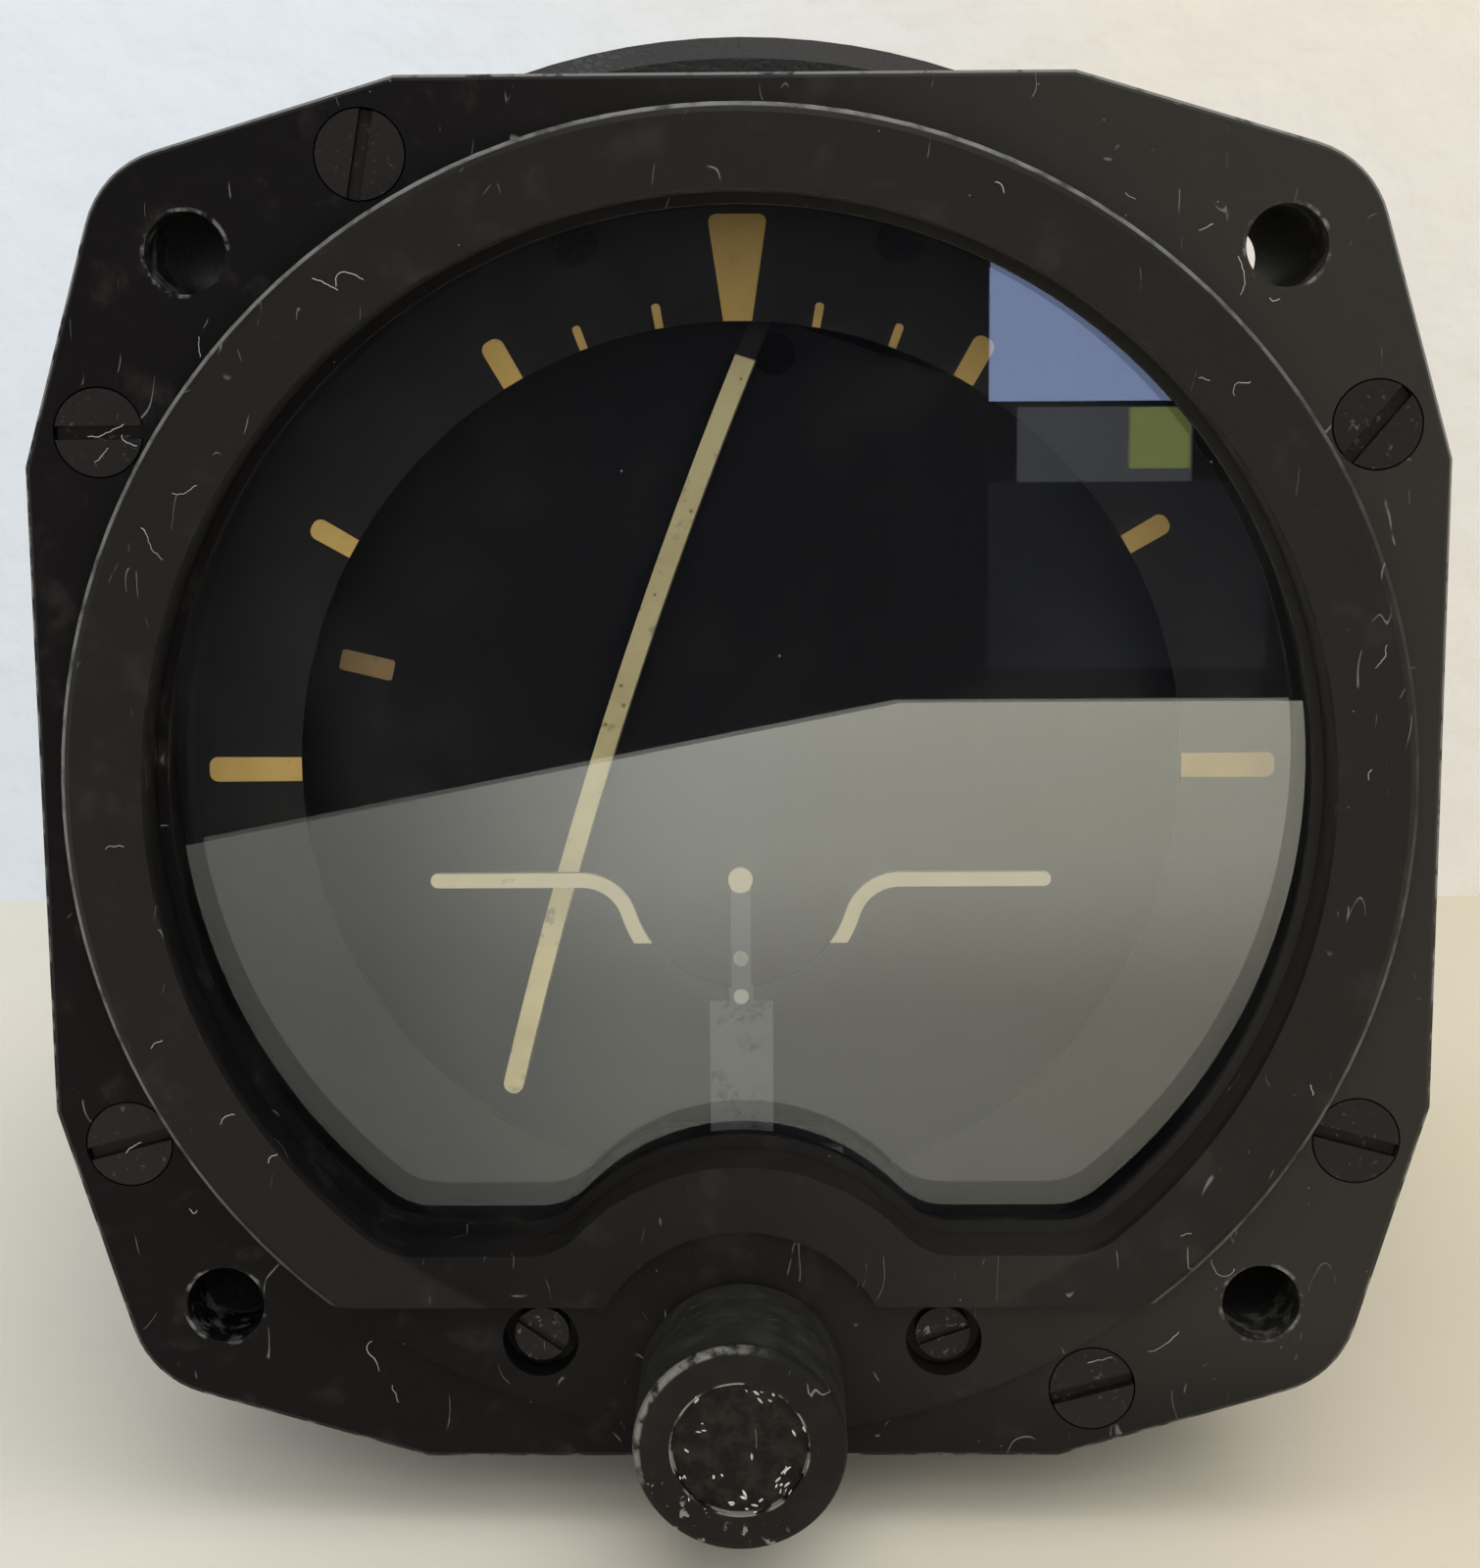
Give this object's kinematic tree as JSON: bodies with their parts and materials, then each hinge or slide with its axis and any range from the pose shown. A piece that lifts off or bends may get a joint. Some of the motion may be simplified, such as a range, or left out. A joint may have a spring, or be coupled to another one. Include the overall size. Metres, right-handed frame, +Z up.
{
  "type": "attitude indicator",
  "caption": "Panel-mounted gyro attitude indicator: flat round window, horizon bar, bank scale, adjustable aircraft symbol with knob, barrel case and rear plug.",
  "frame": {"origin": "centre of the square of mounting holes, on the front face of the mounting flange", "axes": "+Z up on the panel, -Y out of the panel towards the pilot, +X to the pilot's right"},
  "size_m": [0.092, 0.1522, 0.092],
  "materials": {
    "bezel": "matte black enamel, worn bright at edges",
    "black_steel": "blackened steel screws",
    "steel": "plain steel",
    "gasket": "black rubber",
    "glass": "clear flat glass",
    "dial_black": "matte black paint",
    "case_paint": "black crackle paint",
    "aluminium": "machined",
    "brass": "machined",
    "plastic": "moulded",
    "knob_plastic": "black, worn rim",
    "cream_paint": "cream luminous paint",
    "symbol_paint": "pale grey paint",
    "copper": "winding lacquer",
    "cast": "turned heavy alloy"
  },
  "bodies": {
    "case": {"bezel": "bezel", "bezel_screws": "black_steel", "bracket_screws": "black_steel", "case_gasket": "gasket", "window_glass": "glass", "glass_gasket": "gasket", "spacer_ring": "dial_black", "mask_ring": "dial_black", "mask_carrier": "dial_black", "mask_screws": "black_steel", "case_body": "case_paint", "rear_bulkhead": "aluminium", "bulkhead_screws": "black_steel", "rear_cover": "case_paint", "rear_cover_gasket": "gasket", "rear_cover_screws": "black_steel", "connector_shell": "aluminium", "connector_insert": "plastic", "connector_pins": "brass", "connector_screws": "black_steel", "knob_bushing": "brass", "adjuster_bracket": "aluminium", "bracket_spacers": "aluminium", "idler_pin": "steel", "brush_block": "plastic", "roll_bearing_front": "steel", "roll_bearing_rear": "steel"},
    "roll_body": {"roll_gimbal": "aluminium", "roll_shaft": "steel", "background_disc": "dial_black", "slip_rings": "brass", "pitch_bearing_left": "steel", "pitch_bearing_right": "steel", "bar_pivot_screw": "black_steel"},
    "bar_body": {"horizon_bar_arm": "aluminium", "horizon_bar": "cream_paint", "bar_counterweight": "brass"},
    "gyro_body": {"gyro_housing": "aluminium", "gyro_housing_cap": "aluminium", "cap_screws": "black_steel", "guide_pin": "steel", "stator": "copper", "spin_bearing_upper": "steel", "spin_bearing_lower": "steel"},
    "rotor_body": {"rotor": "cast", "rotor_shaft": "steel"},
    "knob_body": {"knob": "knob_plastic", "knob_set_screw": "black_steel", "pinion_shaft": "brass", "knob_spring_washer": "steel"},
    "idler_body": {"idler_gear": "brass"},
    "aircraft_body": {"aircraft_slide": "symbol_paint", "aircraft_symbol": "symbol_paint", "aircraft_rivets": "steel"}
  },
  "joints": [
    {"name": "roll", "type": "hinge", "parent": "case", "child": "roll_body", "pos_m": [0, 0.1, 0], "axis": [0, 1, 0], "continuous": true},
    {"name": "pitch", "type": "hinge", "parent": "roll_body", "child": "gyro_body", "pos_m": [0, 0.058, 0], "axis": [-0.309, 0, -0.9511], "range_deg": [-90, 30]},
    {"name": "bar_tilt", "type": "hinge", "parent": "roll_body", "child": "bar_body", "pos_m": [0, 0.086, 0], "axis": [-0.309, 0, -0.9511], "range_deg": [-18.05, 6.05]},
    {"name": "rotor_spin", "type": "hinge", "parent": "gyro_body", "child": "rotor_body", "pos_m": [0, 0.058, 0], "axis": [-0.8236, 0.5, 0.2676], "continuous": true},
    {"name": "knob_turn", "type": "hinge", "parent": "case", "child": "knob_body", "pos_m": [0, 0, -0.0355], "axis": [0, 1, 0], "range_deg": [-5, 260]},
    {"name": "idler_turn", "type": "hinge", "parent": "case", "child": "idler_body", "pos_m": [0, 0, -0.0287], "axis": [0, 1, 0], "range_deg": [-124.4, 2.4]},
    {"name": "aircraft_lift", "type": "slide", "parent": "case", "child": "aircraft_body", "axis": [0, 0, 1], "range_m": [-0.00019, 0.00998]}
  ],
  "couplings": [
    {"joint": "bar_tilt", "follows": "pitch", "ratio": 0.2},
    {"joint": "knob_turn", "follows": "aircraft_lift", "rad_per_m": 454.55},
    {"joint": "idler_turn", "follows": "aircraft_lift", "rad_per_m": -217.39}
  ]
}
